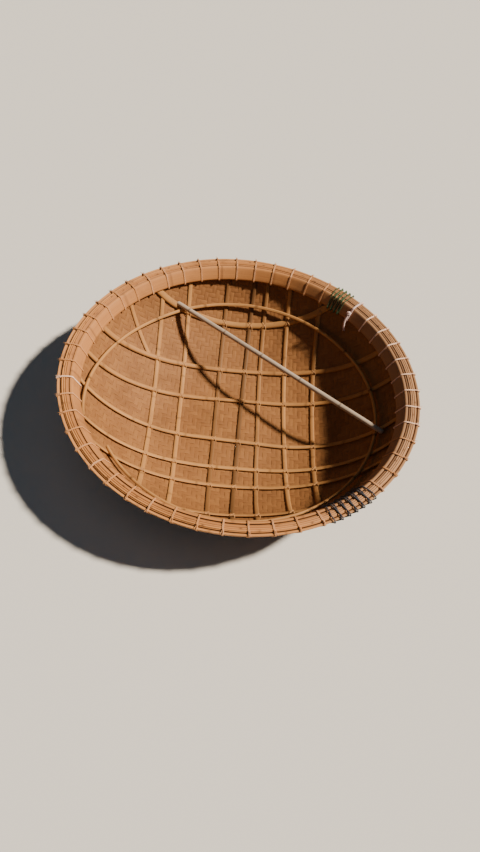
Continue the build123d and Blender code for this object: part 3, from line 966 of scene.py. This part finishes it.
def climbing_run(bearing, start, tip, level):
    """Run, at each bearing, of the flat curve that leaves the stringer's level run along it and is
    at the laths' top at its tip: where the curve's plane cuts the bowl."""
    middle = sum(STRINGER_LAYER) / 2
    run = np.linspace(level - 0.01, FULL_RUN, 500)
    radius, height = bowl(run, middle)
    origin = at_bearing(*bowl(level, middle), start)
    end = at_bearing(np.interp(LATH_TOP, height, radius), LATH_TOP, tip)
    square = np.cross(sideways(start), end - origin)
    above = (at_bearing(radius, height, bearing[:, None]) - origin) @ square
    upper = (above > 0).argmax(axis=1)
    row = np.arange(len(bearing))
    low, high = above[row, upper - 1], above[row, upper]
    return run[upper - 1] + (run[upper] - run[upper - 1]) * low / (low - high)


def stringer():
    """Split bamboo cane bent round on the laths: a crowned section carried along a level run and
    up one end to the rim hoops, where each line of it stops at the laths' level top."""
    first, climb, tip = np.radians(STRINGER_BEARINGS)
    bearing = np.linspace(first, tip, STRINGER_STEPS)
    level = FOOT_RADIUS + BILGE * STRINGER_TURN
    run = np.where(bearing > climb, climbing_run(bearing, climb, tip, level), level)[:, None]
    bearing = bearing[:, None]
    angle = full_turn(14)
    wide = squared(np.cos(angle), 0.5) * STRINGER_WIDTH / 2 * BILGE / STRINGER_BEND
    tall = 0.5 + 0.5 * squared(np.sin(angle), 0.6)
    ridge = humps(bearing, math.tau / STRINGER_JOINTS, shift=0.2, width=0.010)
    thickness = (STRINGER_LAYER[1] - STRINGER_LAYER[0]) * (1 + STRINGER_JOINT_SWELL * ridge)
    depth = STRINGER_LAYER[0] + tall * thickness
    wall = (LATH_TOP - BILGE + (BILGE - depth) * math.cos(SLOPE)) / math.sin(SLOPE)
    run = run + wide + waver(bearing, size=0.0012, length=1.3, phase=2.0)
    run = np.minimum(run, FOOT_RADIUS + BILGE * SLOPE + wall)
    radius, height = bowl(run, depth)
    solid("stringer_hoop_split", ["stringer_hoop"], LATH_BAMBOO,
          [at_bearing(radius, height, bearing)], tones=[0.6], joints=[ridge])


def pole():
    """Round pole with ridged joints; each line of it ends where it meets the wall over the laths."""
    top_turn = STRINGER_TURN + STRINGER_WIDTH / 2 / STRINGER_BEND
    seat = BILGE - (BILGE - STRINGER_LAYER[1]) * math.cos(top_turn)
    middle = seat + CLEARANCE + POLE_RADIUS
    angle = full_turn(24)
    offset = POLE_OFFSET + POLE_RADIUS * np.cos(angle)
    height = middle + POLE_RADIUS * np.sin(angle)
    wall = FOOT_RADIUS + np.sqrt(STRINGER_BEND ** 2 - (BILGE - height) ** 2)
    along = np.linspace(-1, 1, POLE_STEPS)[:, None] * np.sqrt(wall ** 2 - offset ** 2)
    ridge = humps(along, POLE_JOINT_SPACING, POLE_JOINT_SHIFT, width=0.0045)
    groove = humps(along, POLE_JOINT_SPACING, POLE_JOINT_SHIFT + POLE_GROOVE_SHIFT, width=0.004)
    radius = POLE_RADIUS - POLE_EASE + POLE_JOINT_RISE * ridge - POLE_GROOVE_DEPTH * groove
    radius = radius + waver(along, size=0.0003, length=0.4, phase=1.0)
    offset = POLE_OFFSET + radius * np.cos(angle) + waver(along, size=0.0012, length=1.6, phase=0.5)
    height = middle + radius * np.sin(angle)
    bearing = math.radians(POLE_BEARING)
    x = offset * math.cos(bearing) - along * math.sin(bearing)
    y = offset * math.sin(bearing) + along * math.cos(bearing)
    solid("thwart_pole_cane", ["thwart_pole"], POLE_BAMBOO,
          [np.stack([x, y, height], axis=-1)], tones=[0.6], joints=[ridge])


def lath_crossing(lath_x, lath_y):
    """Plan position where a lath along X meets one along Y: each one's line is read at the other's
    place, over and over. A line is its distance, its lean, and its bow as a parabola."""
    def line(lath, along):
        _, distance, lean, bow = lath
        bowed = math.copysign(bow, distance) * (along / SKIN_RADIUS) ** 2
        return distance + along * math.tan(math.radians(lean)) - bowed
    x, y = lath_y[1], lath_x[1]
    for _ in range(4):
        x, y = line(lath_y, -y), line(lath_x, x)
    return x, y


def crossing_ties():
    """Two straps of cane over each crossing of the floor laths, from corner to corner: level over
    the upper lath, then down to the weave at both ends."""
    share = np.linspace(-1, 1, 17)
    high = 1 - np.clip((np.abs(share) - CROSS_TIE_LEVEL) / (1 - CROSS_TIE_LEVEL), 0, 1) ** 1.5
    depth = WEAVE_FACE + high * (UPPER_LAYER[1] + CROSS_TIE_OVER - WEAVE_FACE)
    runs, tones = [], []
    for x, y in (lath_crossing(lath_x, lath_y) for lath_x in LATHS_ALONG_X for lath_y in LATHS_ALONG_Y):
        if bowl_height(math.hypot(x, y), 0.0) > LATH_TOP - CROSS_TIE_STOP:
            continue
        for hand in (-1, 1):
            reach = (CROSS_TIE_REACH + chance.uniform(-0.001, 0.001)) * share
            path = in_plan(x + reach, y + hand * reach, depth + CROSS_TIE_LIFT * (hand > 0))
            runs.append(tube(path, np.array([-hand, 1.0, 0.0]), CROSS_TIE_RADIUS, 6, flat=0.5))
            tones.append(chance.uniform(0, 1))
    solid("lath_crossing_ties", [], CROSS_CANE, runs, tones=tones)


# Floor and light

def floor():
    """Pale level floor at the waterline: rings from the inside of the hull's skin outwards."""
    hole = FOOT_RADIUS + math.sqrt((BILGE - FLOOR_INSET) ** 2 - (BILGE - WATERLINE) ** 2)
    radius = np.array([hole, *FLOOR_RADII])[:, None]
    points = at_bearing(radius, WATERLINE, full_turn(FLOOR_STEPS))
    index = np.arange(points[..., 0].size).reshape(points.shape[:2])
    beside = np.roll(index, -1, axis=1)
    quads = np.stack([index[:-1], index[1:], beside[1:], beside[:-1]], axis=-1).reshape(-1, 4)
    mesh = bpy.data.meshes.new("pale_floor")
    mesh.from_pydata(points.reshape(-1, 3).tolist(), [], quads.tolist())
    mesh.materials.append(Finish("pale_floor").done((*FLOOR_COLOUR, 1.0), 0.9))
    obj = placed("pale_floor", mesh)


def lamp(name, kind, power, colour, bearing, elevation, distance, size):
    """Sun or disk lamp that shines at the origin from a bearing and an elevation."""
    data = bpy.data.lights.new(name, kind)
    data.energy = power
    data.color = colour
    if kind == "SUN":
        data.angle = size
    else:
        data.shape = "DISK"
        data.size = size
    away = line_of_sight(bearing, elevation)
    made = placed(name, data)
    made.location = away * distance
    made.rotation_euler = away.to_track_quat("Z", "Y").to_euler()


def room():
    """Faint blue fill light all round, with a pale backdrop that only the camera sees."""
    world = bpy.data.worlds.new("pale_room")
    world.use_nodes = True
    nodes = world.node_tree.nodes
    link = world.node_tree.links.new
    fill = nodes["Background"]
    fill.inputs["Color"].default_value = (*FILL_COLOUR, 1.0)
    fill.inputs["Strength"].default_value = FILL_STRENGTH
    backdrop = nodes.new("ShaderNodeBackground")
    backdrop.inputs["Color"].default_value = (*BACKDROP_COLOUR, 1.0)
    seen = nodes.new("ShaderNodeMixShader")
    link(nodes.new("ShaderNodeLightPath").outputs["Is Camera Ray"], seen.inputs[0])
    link(fill.outputs[0], seen.inputs[1])
    link(backdrop.outputs[0], seen.inputs[2])
    link(seen.outputs[0], nodes["World Output"].inputs["Surface"])
    bpy.context.scene.world = world


photo_camera()
rope_tail()
rope_hitch()
rope_knot()
strip_family("hull_weave_strips_y", True)
strip_family("hull_weave_strips_x", False)
sealing_coat()
rim_hoops()
rim_cap()
rim_ties()
rim_binding("rim_binding_dark_cord", "rim_binding_dark", "dark_cord", DARK_CORD, *DARK_BINDING)
rim_binding("rim_binding_green_cord", "rim_binding_green", "green_cord", GREEN_CORD, *GREEN_BINDING)
floor_laths()
stringer()
pole()
crossing_ties()
floor()
for row in LAMPS:
    lamp(*row)
room()
